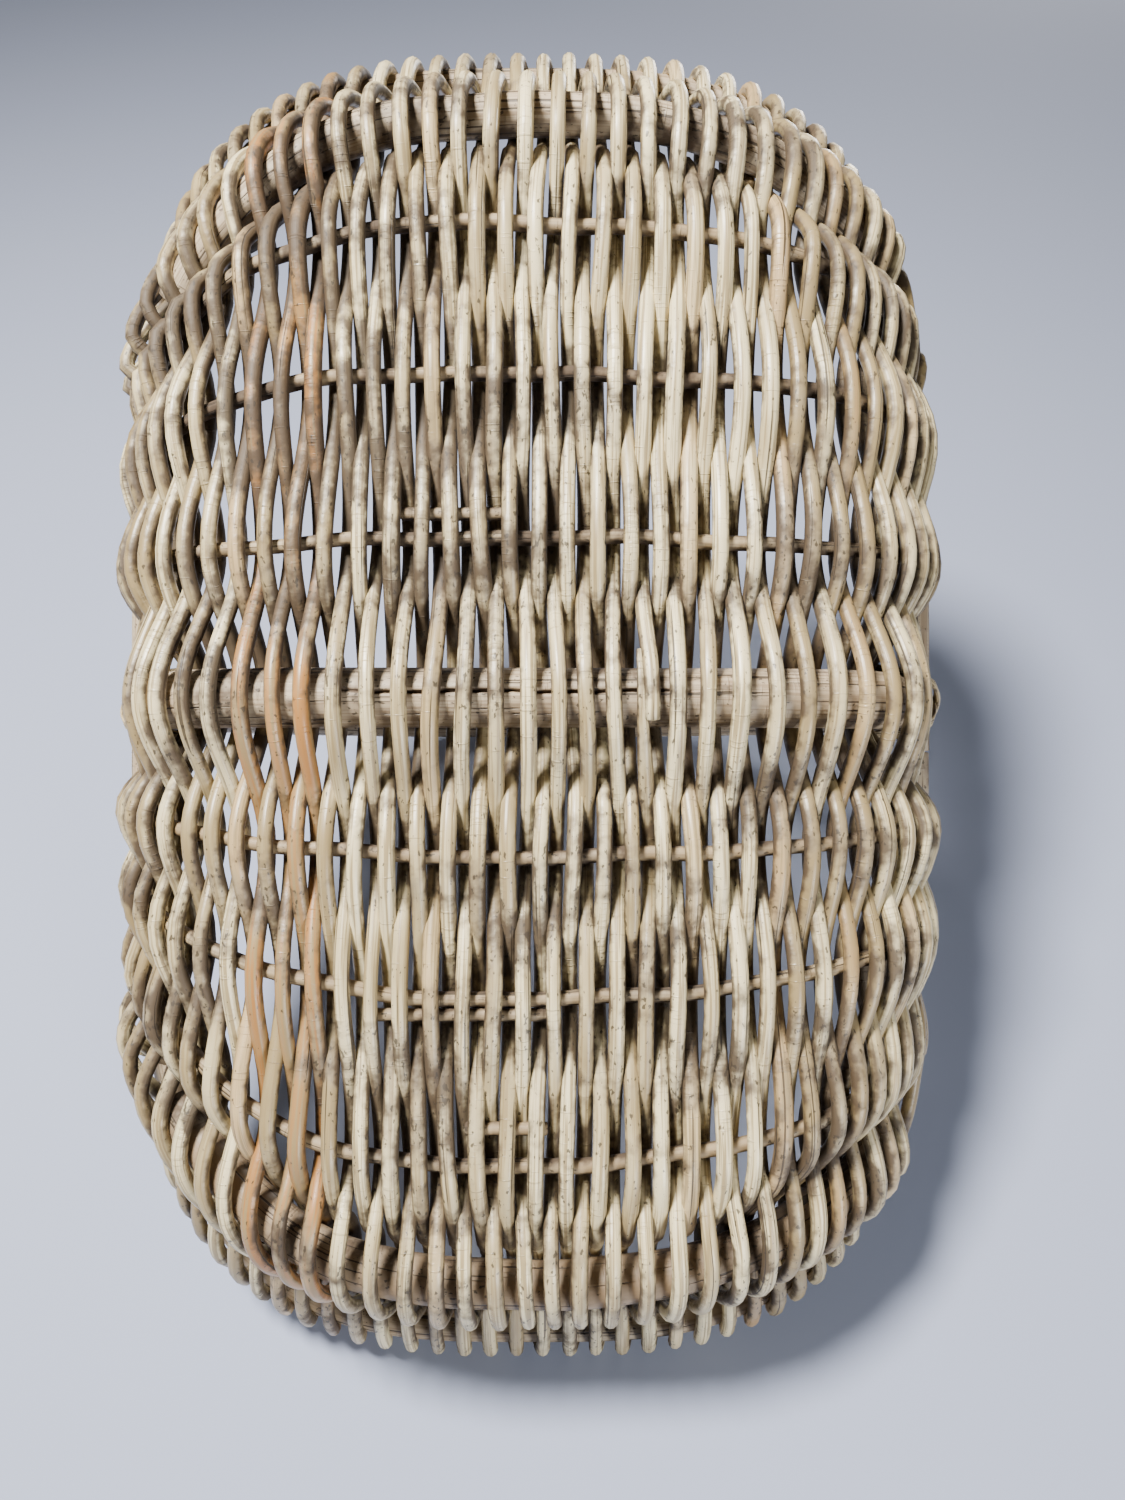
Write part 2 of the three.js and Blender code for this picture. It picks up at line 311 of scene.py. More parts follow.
def chamfered(stations, ease=0.7):
    """Adds a slightly smaller stop at each end, so a cut end has a worn edge and not a sharp one."""
    at, out, radii, looks = (stations[key] for key in ("at", "out", "r", "look"))
    head, tail = unit(at[0] - at[1]), unit(at[-1] - at[-2])
    step = ease * CHAMFER_SLOPE
    return as_stations(
        np.concatenate([[at[0] + head * step], at, [at[-1] + tail * step]]),
        np.concatenate([out[:1], out, out[-1:]]),
        np.concatenate([[radii[0] - ease], radii, [radii[-1] - ease]]),
        np.concatenate([looks[:1], looks, looks[-1:]]),
    )


def place(piece, node, slot, *materials):
    """Rides on the basket, stands for a node, and takes its finishes."""
    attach(piece, "root")
    if node:
        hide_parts(node)
    for material in materials:
        piece.data.materials.append(material)
    return piece


print("sweep ready")

# %% [markdown]
# ## Finishes
# Old peeled willow is one material in three moods: pale satiny weavers, pinkish stout rods with long
# drying cracks, and thin ribs that hold the dirt. All three read `rod_space`, so their grain runs along
# the rod. A small class lets the shader maths be written as sums, and one method adds any other node.


# %% Shader maths as expressions
class Wire:
    """A value travelling through a material, with arithmetic that adds Math nodes."""

    def __init__(self, finish, socket):
        self.finish, self.socket = finish, socket

    def maths(self, operation, other, swapped=False):
        pair = (other, self) if swapped else (self, other)
        return self.finish.node("ShaderNodeMath", {"operation": operation}, {0: pair[0], 1: pair[1]})

    def __add__(self, other):
        return self.maths("ADD", other)

    def __radd__(self, other):
        return self.maths("ADD", other, True)

    def __sub__(self, other):
        return self.maths("SUBTRACT", other)

    def __rsub__(self, other):
        return self.maths("SUBTRACT", other, True)

    def __mul__(self, other):
        return self.maths("MULTIPLY", other)

    def __rmul__(self, other):
        return self.maths("MULTIPLY", other, True)

    def __pow__(self, other):
        return self.maths("POWER", other)


class Finish:
    """One material: its nodes, and the Principled shader at the end of them."""

    def __init__(self, name):
        self.material = bpy.data.materials.new(name)
        self.material.use_nodes = True
        self.tree = self.material.node_tree
        self.shader = self.tree.nodes["Principled BSDF"]

    def node(self, kind, settings=None, inputs=None, output=0):
        """Any node: its settings first, then the values or wires of its sockets."""
        made = self.tree.nodes.new(kind)
        for key, value in (settings or {}).items():
            setattr(made, key, value)
        for key, value in (inputs or {}).items():
            self.feed(made.inputs[key], value)
        return Wire(self, made.outputs[output])

    def feed(self, socket, value):
        if isinstance(value, Wire):
            self.tree.links.new(value.socket, socket)
        elif isinstance(value, tuple) and len(value) == 3 and socket.type == "RGBA":
            socket.default_value = (*value, 1)
        else:
            socket.default_value = value

    def attribute(self, name):
        return self.node("ShaderNodeAttribute", {"attribute_name": name}, output="Vector")

    def parts(self, vector):
        return [self.node("ShaderNodeSeparateXYZ", inputs={0: vector}, output=i) for i in range(3)]

    def stretched(self, vector, along, across):
        times = {0: vector, 1: (along, across, across)}
        return self.node("ShaderNodeVectorMath", {"operation": "MULTIPLY"}, times)

    def noise(self, vector, scale=1.0, detail=3.0):
        return self.node("ShaderNodeTexNoise", inputs={"Vector": vector, "Scale": scale, "Detail": detail})

    def mask(self, value, low, high):
        """0 below low, 1 above high, smooth between. low above high turns it round."""
        spread = {"Value": value, "From Min": low, "From Max": high}
        return self.node("ShaderNodeMapRange", {"interpolation_type": "SMOOTHSTEP"}, spread)

    def mix(self, share, first, second):
        """The first colour where share is 0, the second where it is 1."""
        return self.node("ShaderNodeMix", {"data_type": "RGBA"}, {0: share, 6: first, 7: second}, output=2)

    def near(self, place, radii):
        """1 at a place on the basket, falling to 0 an ellipse's radii away. Both are in millimetres."""
        position = self.node("ShaderNodeTexCoord", output="Object")
        centred = self.node(
            "ShaderNodeMapping",
            {"vector_type": "TEXTURE"},
            {0: position, 1: tuple(v * MM for v in place), 3: tuple(v * MM for v in radii)},
        )
        length = self.node("ShaderNodeVectorMath", {"operation": "LENGTH"}, {0: centred}, output="Value")
        return self.mask(length, 1.0, 0.3)

    def bump(self, height, strength, distance):
        inputs = {"Height": height, "Strength": strength, "Distance": distance}
        self.feed(self.shader.inputs["Normal"], self.node("ShaderNodeBump", inputs=inputs))


# %% The finishes
GREY_BLOOM = (0.3, 0.26, 0.19)
BLACK_SPOT = (0.035, 0.025, 0.015)
CRACK_DARK = (0.04, 0.028, 0.018)
MOULD = (0.03, 0.028, 0.03)
MOULD_PLACE, MOULD_SIZE = (-78, -45, 8), (24, 9, 16)
END_WOOD, PITH = (0.42, 0.33, 0.2), (0.12, 0.07, 0.035)
PITH_EDGE, PITH_CORE = 0.0019, 0.0007  # metres from the rod's middle


def willow(name, pale, deep, warm, dirt, crack, roughness, stained=False):
    """Peeled willow. crack is how much of it is split along the grain.

    A stretched pattern is given by how fast it changes along the rod, and across it. Each layer of colour
    is laid over the one before: tan, rings, grain, a grey bloom, dirt with painted shade, spots, and cracks
    last.
    """
    finish = Finish(name)
    rod = finish.attribute("rod_space")
    tone, warmth, grime_and_shade = finish.parts(finish.attribute("rod_look"))
    position = finish.node("ShaderNodeTexCoord", output="Object")
    grain = finish.noise(finish.stretched(rod, 22, 900), detail=4)
    patches = finish.noise(finish.stretched(rod, 26, 110), detail=3)
    rings = finish.noise(finish.stretched(rod, 850, 60), detail=2)
    specks = finish.noise(finish.stretched(rod, 380, 620), detail=2)
    weather = finish.noise(position, scale=30, detail=5)
    dust = finish.noise(position, scale=170, detail=3)
    clean = finish.mix(finish.mask(patches * 0.8 + tone * 0.6, 0.42, 1.0), deep, pale)
    coloured = finish.mix(warmth * finish.mask(patches, 0.2, 0.5), clean, warm)
    browned = finish.mix(warmth * finish.mask(weather, 0.48, 0.68) * 0.6, coloured, dirt)
    ringing = finish.mask(rings + (patches - 0.5) * 0.5, 0.62, 0.74)
    ringed = finish.mix(ringing * 0.26, browned, dirt)
    grained = finish.mix(finish.mask(grain, 0.46, 0.6) * 0.85, ringed, deep)
    greyed = finish.mix(finish.mask(weather, 0.46, 0.66) * 0.4, grained, GREY_BLOOM)
    # painted shade: the grime channel also holds shade on the flanks and in the weave's hollows, laid on
    # here in the dirt colour
    soiling_and_shade = finish.mask(grime_and_shade + (weather - 0.5) * 2.0 + (dust - 0.5) * 1.1, 0.42, 0.95)
    soiled_and_shaded = finish.mix(soiling_and_shade * 0.92, greyed, dirt)
    spotting = finish.mask(specks + (weather - 0.5) * 0.3, 0.64, 0.69)
    spotted = finish.mix(spotting * 0.8, soiled_and_shaded, BLACK_SPOT)
    splits = finish.noise(finish.stretched(rod, 12, 700), detail=1)
    split = finish.mask(splits, 0.76 - 0.14 * crack, 0.8 - 0.14 * crack)
    colour = finish.mix(split * 0.85, spotted, CRACK_DARK)
    if stained:
        mould = finish.near(MOULD_PLACE, MOULD_SIZE) * finish.mask(weather, 0.4, 0.6)
        colour = finish.mix(mould * 0.9, colour, MOULD)
    finish.feed(finish.shader.inputs["Base Color"], colour)
    finish.feed(finish.shader.inputs["Roughness"], roughness + soiling_and_shade * 0.3 + (grain - 0.5) * 0.2)
    height = grain * 0.3 + ringing * 0.3 - split * 1.2 + patches * 0.9 + soiling_and_shade * dust * 0.8
    finish.bump(height, 0.8, 0.0006)
    return finish.material


def cut_end(name):
    """A sawn or snapped end: pale wood round a brown pith."""
    finish = Finish(name)
    _, across, over = finish.parts(finish.attribute("rod_space"))
    core = finish.mask((across**2 + over**2) ** 0.5, PITH_EDGE, PITH_CORE)
    finish.feed(finish.shader.inputs["Base Color"], finish.mix(core, END_WOOD, PITH))
    finish.feed(finish.shader.inputs["Roughness"], 0.75 + core * 0.1)
    return finish.material


WEAVER_WILLOW = willow(
    "weaver_willow",
    pale=(0.74, 0.63, 0.37),
    deep=(0.27, 0.195, 0.09),
    warm=(0.35, 0.16, 0.045),
    dirt=(0.055, 0.033, 0.016),
    crack=0.45,
    stained=True,
    roughness=0.36,
)
STOUT_WILLOW = willow(
    "stout_willow",
    pale=(0.52, 0.425, 0.29),
    deep=(0.28, 0.2, 0.12),
    warm=(0.4, 0.25, 0.13),
    dirt=(0.065, 0.038, 0.02),
    crack=1.0,
    roughness=0.52,
)
RIB_WILLOW = willow(
    "rib_willow",
    pale=(0.46, 0.365, 0.21),
    deep=(0.25, 0.175, 0.09),
    warm=(0.3, 0.18, 0.09),
    dirt=(0.05, 0.03, 0.017),
    crack=0.7,
    roughness=0.6,
)
CUT_END = cut_end("cut_end")
print("finishes:", [m.name for m in bpy.data.materials])

# %% [markdown]
# ## The stout rods
# The keel and handle are one hoop of willow as thick as a thumb. It could be a bevelled curve, but its
# long drying crack and its knots are what make it read as wood, so the sweep is told to dip along the
# crack and to swell at each knot. The points round the rod crowd together at the crack, so it stays crisp.


# %% Lines for the stout rods
LINE_STEP = 4.0
HOOP_SPRING = 14  # how far above the rim the handle's arc starts
HOOP_END_GAP = 0.4
KEEL_SHARE = 0.97  # of the girth, beyond which the hoop has turned up into the handle
RIM_JOINT = 0.12  # radians past the ear, where the rim's two ends meet
RIM_JOINT_GAP = 0.004


def hoop_line():
    """The hoop from one ear over the handle, down, and under the base to the same ear again."""
    spring, half_span = RIM_LEVEL + HOOP_SPRING, RIM_HALF_WIDTH - HOOP_INSET
    keel, handle = [], []
    for girth in np.linspace(-KEEL_SHARE * HALF_GIRTH, KEEL_SHARE * HALF_GIRTH, 61):
        y = at_girth(0, girth)
        keel.append(web_point(0, y) - web_normal(0, y) * hoop_inset(girth))
    for angle in np.linspace(0, math.pi, 40)[1:-1]:
        level = spring + (HOOP_TOP - spring) * math.sin(angle)
        handle.append(np.array([0, half_span * math.cos(angle), level]))
    first_end = np.array([0, half_span, RIM_LEVEL + HOOP_END_GAP])
    last_end = np.array([0, half_span, RIM_LEVEL - HOOP_END_GAP])
    return evenly(smoothed(np.array([first_end, *handle, *keel, last_end]), 2), LINE_STEP)


def cross_line(rod):
    """A rib or bow from rim to rim, cut off just short of it."""
    end = last_inside(lambda y: reach(rod_x(rod, y), y) < 1, RIM_HALF_WIDTH)
    ys = end * np.sin(np.linspace(-math.pi / 2, math.pi / 2, 161))
    line = np.array([web_point(rod_x(rod, y), y) for y in ys])
    return evenly(trimmed(line, RIM_R + 0.9 * rod["r"]), LINE_STEP)


def rim_line():
    """The rim from one side of its joint, beside an ear, right round to the other."""
    start = math.pi / 2 + RIM_JOINT
    angles = np.linspace(start + RIM_JOINT_GAP, start + 2 * math.pi - RIM_JOINT_GAP, 721)
    line = [np.array([math.cos(a), math.sin(a), 0]) / reach(math.cos(a), math.sin(a)) for a in angles]
    return evenly(np.array(line) + [0, 0, RIM_LEVEL], LINE_STEP)


def wander(count, seed, size, waves=(1.7, 3.9, 7.3)):
    """A slow, repeatable unevenness along a rod."""
    draw = random.Random(seed)
    t = np.linspace(0, 2 * math.pi, count)
    return size * sum(math.sqrt(1 / w) * np.sin(w * t + draw.uniform(0, 6.3)) for w in waves)


print(f"hoop {len(hoop_line())} stops, rim {len(rim_line())} stops")

# %% Keel and handle
CRACK_TURN = math.radians(80)  # 90 faces straight out of the base
CRACK_SPAN = (-73, 65)
CRACK_WIDTH, CRACK_DEPTH, CRACK_DIRT = 0.05, 2.6, 1.6
CRACK_TAPER = 25
CROWDING = 0.86  # how strongly the points round the rod gather at the crack
KNOTS = ((-82, 2.24), (73, 0.9), (-20, 4.6))  # where across the basket, and how far round the rod
KNOT_LENGTH, KNOT_WIDTH = 6, 5
KNOT_RISE, KNOT_DIMPLE, KNOT_DIRT = 1.1, 0.5, 0.5
HOOP_LOBES = 0.12
HOOP_MIDDLE = np.array([0, 0, 150])


def keel_relief(line):
    """Dips along the drying crack and swells at the knots, under the base only."""
    under = line[:, 2] < RIM_LEVEL

    def relief(i, turn):
        lobes = HOOP_LOBES * math.sin(3 * turn + 0.05 * i)
        if not under[i]:
            return lobes, 0.0
        y = line[i][1]
        reaches = min(y - CRACK_SPAN[0], CRACK_SPAN[1] - y)
        wavering = CRACK_TURN + 0.03 * math.sin(y * 0.11) + 0.02 * math.sin(y * 0.31)
        opening = max(0.0, min(1.0, reaches / CRACK_TAPER))
        inside = opening * math.exp(-(((turn - wavering) / CRACK_WIDTH) ** 2))
        swell, dirt = -CRACK_DEPTH * inside, CRACK_DIRT * inside
        for knot_y, knot_turn in KNOTS:
            away = math.hypot((y - knot_y) / KNOT_LENGTH, (turn - knot_turn) * HOOP_R / KNOT_WIDTH)
            swell += KNOT_RISE * math.exp(-(away**2)) - KNOT_DIMPLE * math.exp(-((away * 3) ** 2))
            dirt += KNOT_DIRT * math.exp(-(((away - 1) * 3) ** 2))
        return swell + lobes, dirt

    return relief


def crowd_at_crack(turn):
    return turn - CROWDING * math.sin(turn - CRACK_TURN)


# Each rod is a little thinner than its node, so that its unevenness stays within it.
hoop = hoop_line()
hoop_out = [unit(p - HOOP_MIDDLE) for p in hoop]
hoop_r = HOOP_R - 0.25 + wander(len(hoop), 3, 0.12)
hoop_grime = [0.35 if p[2] < RIM_LEVEL else 0.22 for p in hoop]
hoop_look = [(0.62, 0.12, grime_and_shade) for grime_and_shade in hoop_grime]
keel_and_handle = sweep(
    "keel_and_handle",
    chamfered(as_stations(hoop, hoop_out, hoop_r, hoop_look), 0.3),
    sides=44,
    relief=keel_relief(np.concatenate([hoop[:1], hoop, hoop[-1:]])),
    crowd=crowd_at_crack,
)
place(keel_and_handle, "handle_hoop", "peeled_rod", STOUT_WILLOW, CUT_END)
print("keel and handle:", len(keel_and_handle.data.polygons), "faces")

# %% [markdown]
# ## Rim, bows and ribs
# The rim, the end bows and the ribs are the same sweep with other lines and other thicknesses. Ribs are
# thin enough to be pushed about by the weavers, so each wanders a little along the basket.


# %% Rim, bows and ribs
def uneven_relief(seed, size):
    """A rod is never quite round: three shallow lobes that drift along it."""
    return lambda i, turn: (size * math.sin(3 * turn + 0.07 * i + seed), 0.0)


rim = rim_line()
rim_rod = sweep(
    "rim_rod",
    chamfered(as_stations(rim, [0, 0, 1], RIM_R - 0.2 + wander(len(rim), 5, 0.1), (0.55, 0.1, 0.35))),
    sides=18,
    relief=uneven_relief(1, 0.1),
    seed=2100,
)
place(rim_rod, "rim_hoop", "peeled_rod", STOUT_WILLOW, CUT_END)

BOW_TONES = {"end_bow_rear": 0.1, "end_bow_front": 0.75}
RIB_GRIME = {"rib_1": 0.62, "rib_2": 0.7, "rib_3": 0.55}
for number, (node, rod) in enumerate(CROSS_RODS.items()):
    if node == "handle_hoop":
        continue
    stout = rod["r"] > RIB_R
    line = cross_line(rod)
    line[:, 0] += wander(len(line), 20 + number, 0.5 if stout else 1.0)
    tone = BOW_TONES.get(node, 0.35 + 0.1 * (number % 3))
    grime_and_shade = RIB_GRIME.get(node, 0.42)
    radii = rod["r"] - 0.15 + wander(len(line), 40 + number, 0.03 * rod["r"])
    made = sweep(
        node.replace("rib_", "rib_rod_").replace("end_bow", "bow_rod"),
        chamfered(as_stations(line, [0, 0, -1], radii, (tone, 0.15, grime_and_shade))),
        sides=20 if stout else 10,
        relief=uneven_relief(number, 0.018 * rod["r"]),
        seed=2500 + 500 * number,
    )
    place(made, node, "peeled_rod" if stout else "thin_rib", STOUT_WILLOW if stout else RIB_WILLOW, CUT_END)

# %% [markdown]
# ## One pass of a weaver
# A weaver is laid lengthwise: it goes outside one cross rod and inside the next. Neighbouring passes do
# the opposite, and that is the whole of plain weave. So a pass is a list of crossings, each with its side,
# and between two crossings the rod slides from one side to the other on half a cosine, which is close to
# the bend of a springy stick.

# %% Where each pass runs
MIDDLE = COLUMNS // 2
OUTSIDE_WHEN_ODD = ("end_bow_rear", "rib_5", "handle_hoop", "rib_2", "end_bow_front")
COARSE_STEP, FINE_STEP = 8.0, 4.5
RUN_SHARE = 0.97
CLEAR_OF_RIM = 12  # a pass that meets a rod nearer to the rim than this goes straight on
SLACK = 0.9
# Each wave has a size, a length, and a shift from pass to pass.
SHARED_SWAY = ((1.1, 47, 0.23), (0.6, 19, 0.41))
OWN_SWAY = ((0.45, 31, 2.4), (0.3, 13, 4.1))
SWAY_STOPS = 40  # before the rim


def crossing_x(rod, girth, run):
    """The x where a line of constant girth meets a cross rod, found in a few rounds."""
    x = rod["x"]
    for _ in range(5):
        inside = max(-run * RUN_SHARE, min(run * RUN_SHARE, x))
        x = rod_x(rod, at_girth(inside, girth))
    return x


def crossings(index, girth):
    """The rods that a pass meets, from the rear rim to the front, each with its x and its side."""
    odd = index % 2 == 1
    run = run_length(girth)
    rim_side = -1 if odd else 1
    draw = random.Random(300 + index)
    met = [{"x": -run, "offset": rim_side * (RIM_R + WEAVER_R), "rod": "rim"}]
    for node, rod in CROSS_RODS.items():
        x = crossing_x(rod, girth, run)
        if abs(x) > run - CLEAR_OF_RIM:
            continue
        side = 1 if odd == (node in OUTSIDE_WHEN_ODD) else -1
        inset = hoop_inset(girth) if node == "handle_hoop" else 0
        slack = draw.uniform(0, SLACK)
        met.append({"x": x, "offset": side * (rod["r"] + WEAVER_R + slack) - inset, "rod": node})
    met.append({"x": run, "offset": rim_side * (RIM_R + WEAVER_R), "rod": "rim"})
    return met


def added_waves(terms, index, x):
    """The sum of some waves at one place on a pass."""
    return sum(size * math.sin(x / length + index * shift) for size, length, shift in terms)


def sway(index, x):
    """How far a pass leans off its line. Neighbours lean together, with a little of their own on top."""
    middleness = 1 - abs(index - MIDDLE) / (COLUMNS * 0.62)
    return added_waves(SHARED_SWAY, index, x) * middleness + added_waves(OWN_SWAY, index, x)


def pass_points(index):
    """A pass from the rear rim to the front: its points, and where it crosses each rod."""
    girth = (index - MIDDLE) * PASS_PITCH
    met = crossings(index, girth)
    points, marks = [], {}
    for before, after in zip(met, met[1:]):
        marks[before["rod"]] = len(points)
        gap, change = after["x"] - before["x"], after["offset"] - before["offset"]
        stout = max(abs(before["offset"]), abs(after["offset"])) > 2 * RIB_R + WEAVER_R
        count = max(4, math.ceil(gap / (FINE_STEP if stout else COARSE_STEP)))
        for k in range(count):
            share = k / count
            blend = (1 - math.cos(math.pi * share)) / 2
            points.append((before["x"] + gap * share, before["offset"] + change * blend))
    points.append((met[-1]["x"], met[-1]["offset"]))
    laid = []
    for x, offset in points:
        fade = min(1.0, (met[-1]["x"] - abs(x)) / SWAY_STOPS)
        y = at_girth(x, girth + sway(index, x) * fade)
        normal = web_normal(x, y)
        at = web_point(x, y) + normal * offset
        laid.append({"at": at, "out": normal, "offset": offset, "pass": index})
    return laid, marks


print("a middle pass has", len(pass_points(MIDDLE)[0]), "stops")

# %% [markdown]
# ## Turning round the rim
# At the rim a weaver that came up inside goes over the top and down the outside as the next pass, or the
# other way about. The turn is half a circle round the rim rod that drifts sideways by one pass.


# %% The turn
def turn_points(leaving, entering, count=7):
    """Half a wrap over the rim, from the end of one pass to the start of the next."""
    centres = []
    for end in (leaving, entering):
        centres.append(end["at"] - end["out"] * end["offset"])
    start = math.pi if leaving["offset"] < 0 else 0.0
    finish = math.pi - start
    wrapped = []
    for k in range(1, count):
        share = k / count
        angle = start + (finish - start) * share
        out = unit(leaving["out"] * (1 - share) + entering["out"] * share)
        along = unit(centres[1] - centres[0])
        up = unit(np.cross(out, along))
        up = up if up[2] > 0 else -up
        way = out * math.cos(angle) + up * math.sin(angle)
        centre = centres[0] * (1 - share) + centres[1] * share
        at = centre + way * (RIM_R + WEAVER_R)
        wrapped.append({"at": at, "out": way, "offset": RIM_R, "pass": leaving["pass"]})
    return wrapped


# %% [markdown]
# ## The weavers
# The basket is woven from both ears in to the middle. Each willow lasts for about three passes, and the
# next is laid in beside its end on the inside, where the joint doesn't show. One joint was left outside,
# over the keel, with the old rod's cut end beside the new one's tip. Rods differ in colour because they
# grew in different light, so each weaver has its own tone, and a few kept their tan.

# %% Lay all the weavers
PASSES = [2] + [3] * 23
THICK_R, THIN_R = (3.05, 3.5), (2.7, 3.1)  # the two ends of a willow, drawn between these
UNEVEN, UNEVEN_WAVES = 0.16, (5, 11, 23)
TONES, TONE_DRIFT = (0.1, 0.95), 0.35
TAN_PASSES = {16: 0.5, 17: 1.0, 19: 0.8, 20: 0.6, 21: 1.0, 29: 0.35, 46: 0.4, 52: 0.55, 57: 0.3, 63: 0.4}
DIRTY_PLACE, DIRTY_SIZE = (140, -85), (75, 60)
# painted shade: "beside a rod", "between" and "inside" darken the weave's hollows, partly dirt and partly
# shade; "all over" and "dirty place" are dirt
GRIME_AND_SHADE = {"all over": 0.25, "beside a rod": 0.3, "between": 0.16, "inside": 0.42, "dirty place": 0.4}
BESIDE = 9


def look_of(point, tone, warmth):
    """Tone, warmth and grime at one stop: painted shade, with some dirt, beside the ribs, between crossings
    and on inside passes; dirt all over and in one corner of the base.
    """
    x, y, _ = point["at"]
    nearest = min(abs(x - rod_x(rod, y)) for rod in CROSS_RODS.values())
    away = math.hypot((x - DIRTY_PLACE[0]) / DIRTY_SIZE[0], (y - DIRTY_PLACE[1]) / DIRTY_SIZE[1])
    crest = min(1.0, abs(point["offset"]) / (RIB_R + WEAVER_R))
    inside = min(1.0, max(0.0, -point["offset"] / (RIB_R + WEAVER_R)))
    beside = math.exp(-((nearest / BESIDE) ** 2)) * (1 - 0.5 * crest)
    grime_and_shade = GRIME_AND_SHADE["all over"] + GRIME_AND_SHADE["beside a rod"] * beside + GRIME_AND_SHADE["between"] * (1 - crest)
    return tone, warmth, grime_and_shade + GRIME_AND_SHADE["inside"] * inside + GRIME_AND_SHADE["dirty place"] * math.exp(-(away**2))


def chain(order, front_first):
    """One long run through the passes in order, turning at each rim.

    It returns the run's points, and for each pass the point where a fresh willow may be laid in: inside
    the basket, or at the first bow.
    """
    line, joints = [], {}
    for count, index in enumerate(order):
        forward = (count % 2 == 0) == front_first
        points, marks = pass_points(index)
        at_bow = marks.get("end_bow_rear" if forward else "end_bow_front", 3)
        if not forward:
            at_bow = len(points) - 1 - at_bow
            points = points[::-1]
        if line:
            line += turn_points(line[-1], points[0])
        joints[index] = len(line) + (2 if points[0]["offset"] < 0 else at_bow)
        line += points
    return line, joints


left_order = list(range(0, MIDDLE + 3))
right_order = list(range(COLUMNS - 1, MIDDLE + 2, -1))
print(len(left_order), "passes from the left ear,", len(right_order), "from the right")


# %% Cut the runs into willows
# One willow ends over the keel, beside the next one's tip.
LOOSE_PASS, OLD_END_X, NEW_TIP_X = 43, -11.0, 17.0
OLD_WEAVER, NEW_WEAVER = 16, 15
ASIDE, SUNK = 2.2, 0.8  # the old end lies aside and a little out of the weave
OLD_EASE = (8, 48)  # how far behind its end the old rod starts to move, and where it is back in line
TIP_LENGTH, TIP_TAPER = 55, 0.6
OLD_END_THINNER = 0.3


def along_loose_pass(line, x):
    """The stop of the loose pass that is nearest to an x."""
    stops = [i for i, point in enumerate(line) if point["pass"] == LOOSE_PASS]
    return min(stops, key=lambda i: abs(line[i]["at"][0] - x))


def loosened(number, stretch, at, radii):
    """Moves the two rods of the loose joint apart, and sharpens the newer one to a tip."""
    for i, point in enumerate(stretch):
        if point["pass"] != LOOSE_PASS:
            continue
        x = at[i][0]
        if number == OLD_WEAVER:
            near_end = 1 - smoothstep(x, OLD_END_X + OLD_EASE[0], OLD_END_X + OLD_EASE[1])
            at[i] += np.array([0, ASIDE, -SUNK]) * near_end
            radii[i] -= OLD_END_THINNER * near_end
        if number == NEW_WEAVER:
            near_tip = smoothstep(x, NEW_TIP_X - TIP_LENGTH, NEW_TIP_X)
            at[i] += np.array([0, -ASIDE * near_tip, 0])
            radii[i] *= 1 - TIP_TAPER * near_tip


def weave(order, numbers):
    """Cuts one run of passes into its willows and sweeps each one."""
    line, joints = chain(order, True)
    heads, tails, at_pass = [], [], 0
    for number in numbers:
        head = joints[order[at_pass]] if at_pass else 0
        heads.append(along_loose_pass(line, NEW_TIP_X) if number == NEW_WEAVER else head)
        at_pass += min(PASSES[number - 1], len(order) - at_pass)
    for number, after in zip(numbers, [*heads[1:], len(line)]):
        tails.append(along_loose_pass(line, OLD_END_X) if number == OLD_WEAVER else after)
    for number, head, tail in zip(numbers, heads, tails):
        draw = random.Random(900 + number)
        stretch = line[head:tail]
        at = smoothed(np.array([p["at"] for p in stretch]), 1)
        thick, thin = draw.uniform(*THICK_R), draw.uniform(*THIN_R)
        unevenness = wander(len(stretch), number, UNEVEN, UNEVEN_WAVES)
        radii = np.linspace(thick, thin, len(stretch)) + unevenness
        tone = draw.uniform(*TONES)
        own_passes = sorted({p["pass"] for p in stretch})
        drift = {index: draw.uniform(-TONE_DRIFT, TONE_DRIFT) for index in own_passes}
        loosened(number, stretch, at, radii)
        looks = [look_of(p, tone + drift[p["pass"]], TAN_PASSES.get(p["pass"], 0.0)) for p in stretch]
        stations = chamfered(as_stations(at, [p["out"] for p in stretch], radii, looks), 0.5)
        willow_rod = sweep(f"willow_weaver_{number:02d}", stations, sides=10, seed=draw.uniform(0, 9000))
        place(willow_rod, f"weaver_{number:02d}", "weaver", WEAVER_WILLOW, CUT_END)
    return len(line)


stops = weave(left_order, list(range(1, 14)))
stops += weave(right_order, list(range(24, 13, -1)))
print("weavers laid:", stops, "stops")

# %% [markdown]
# ## Splices and lashings
# Three short sticks are tucked in beside ribs. At each ear, a split willow lashes the hoop to the rim: some
# turns lie one way across, and as many the other way over them.


# %% Splices
def splice(node, seed):
    """A short stick along the middle of its node's box."""
    low, high = (np.array(corner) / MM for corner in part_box(node))
    x = (low[0] + high[0]) / 2
    line = np.array([web_point(x, y) for y in np.linspace(low[1], high[1], 9)])
    stations = chamfered(as_stations(line, [0, 0, -1], SPLICE_R, (0.5, 0.2, 0.4)))
    stick = sweep(node.replace("rib_", ""), stations, seed=seed)
    place(stick, node, "thin_rib", RIB_WILLOW, CUT_END)


for node, seed in (("rib_splice_1", 61), ("rib_splice_2", 67), ("rib_splice_3", 71)):
    splice(node, seed)


# %% Ear lashings
STRAND_R, STRAND_GAP = 0.9, 0.4
TURNS, TURN_STOPS = 4, 26
SLANT_ROOM = 2.6
OVER_LIFT = 1.7


